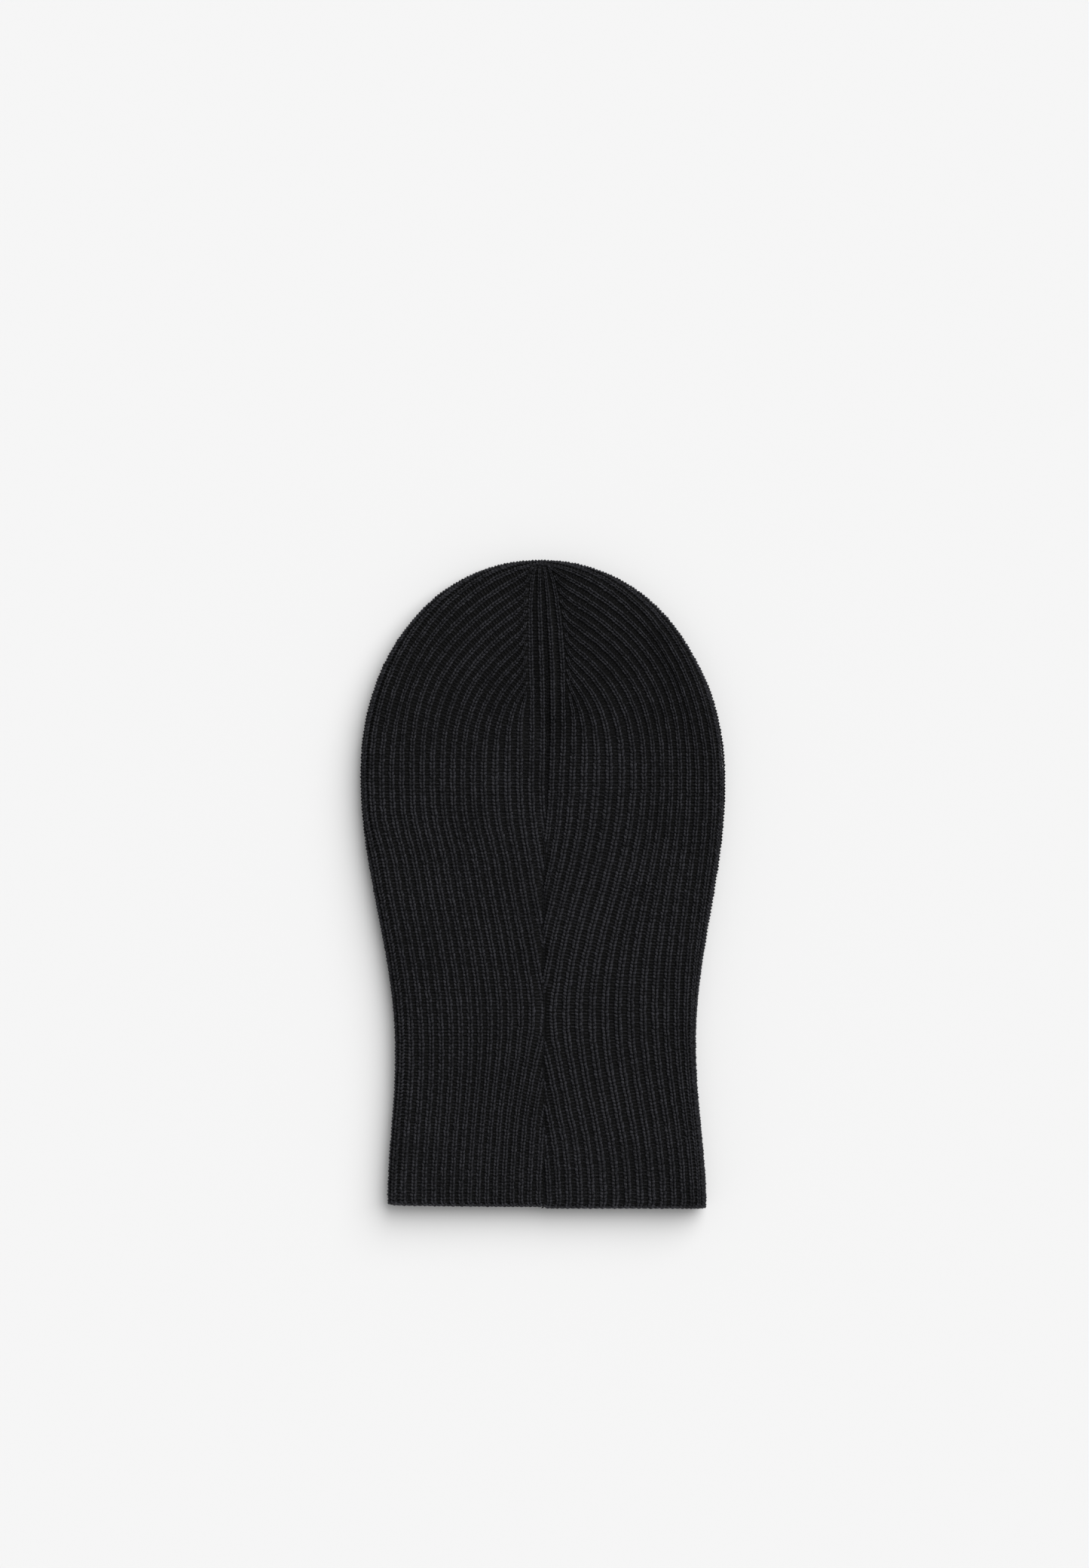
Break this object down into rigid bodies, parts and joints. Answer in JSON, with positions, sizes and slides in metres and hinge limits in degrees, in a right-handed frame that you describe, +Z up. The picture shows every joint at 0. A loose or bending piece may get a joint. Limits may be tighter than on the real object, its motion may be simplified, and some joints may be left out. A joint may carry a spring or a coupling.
{
  "type": "balaclava",
  "caption": "Rib-knitted wool balaclava lying flat, back up: rounded hood, slightly flared neck, centre back seam and an oval face opening with a linked band.",
  "frame": {"origin": "on the surface the piece lies on, under the middle of its bounding box", "axes": "+Y from the neck mouth towards the crown, +Z up out of the back of the head, +X to the wearer's right"},
  "size_m": [0.2192, 0.3881, 0.017],
  "materials": {
    "black_rib_knit": "matte wool rib with short fuzz",
    "seam_yarn": "matte linking yarn",
    "label_ribbon": "satin-woven ribbon, blank"
  },
  "bodies": {
    "root": {"knit_body": "black_rib_knit", "centre_back_seam": "seam_yarn", "crown_seam_tack": "seam_yarn", "hem_seam_tack": "seam_yarn", "face_band": "black_rib_knit", "face_band_linking": "seam_yarn", "face_band_join": "seam_yarn", "care_label": "label_ribbon", "care_label_stitching": "seam_yarn"}
  },
  "joints": []
}
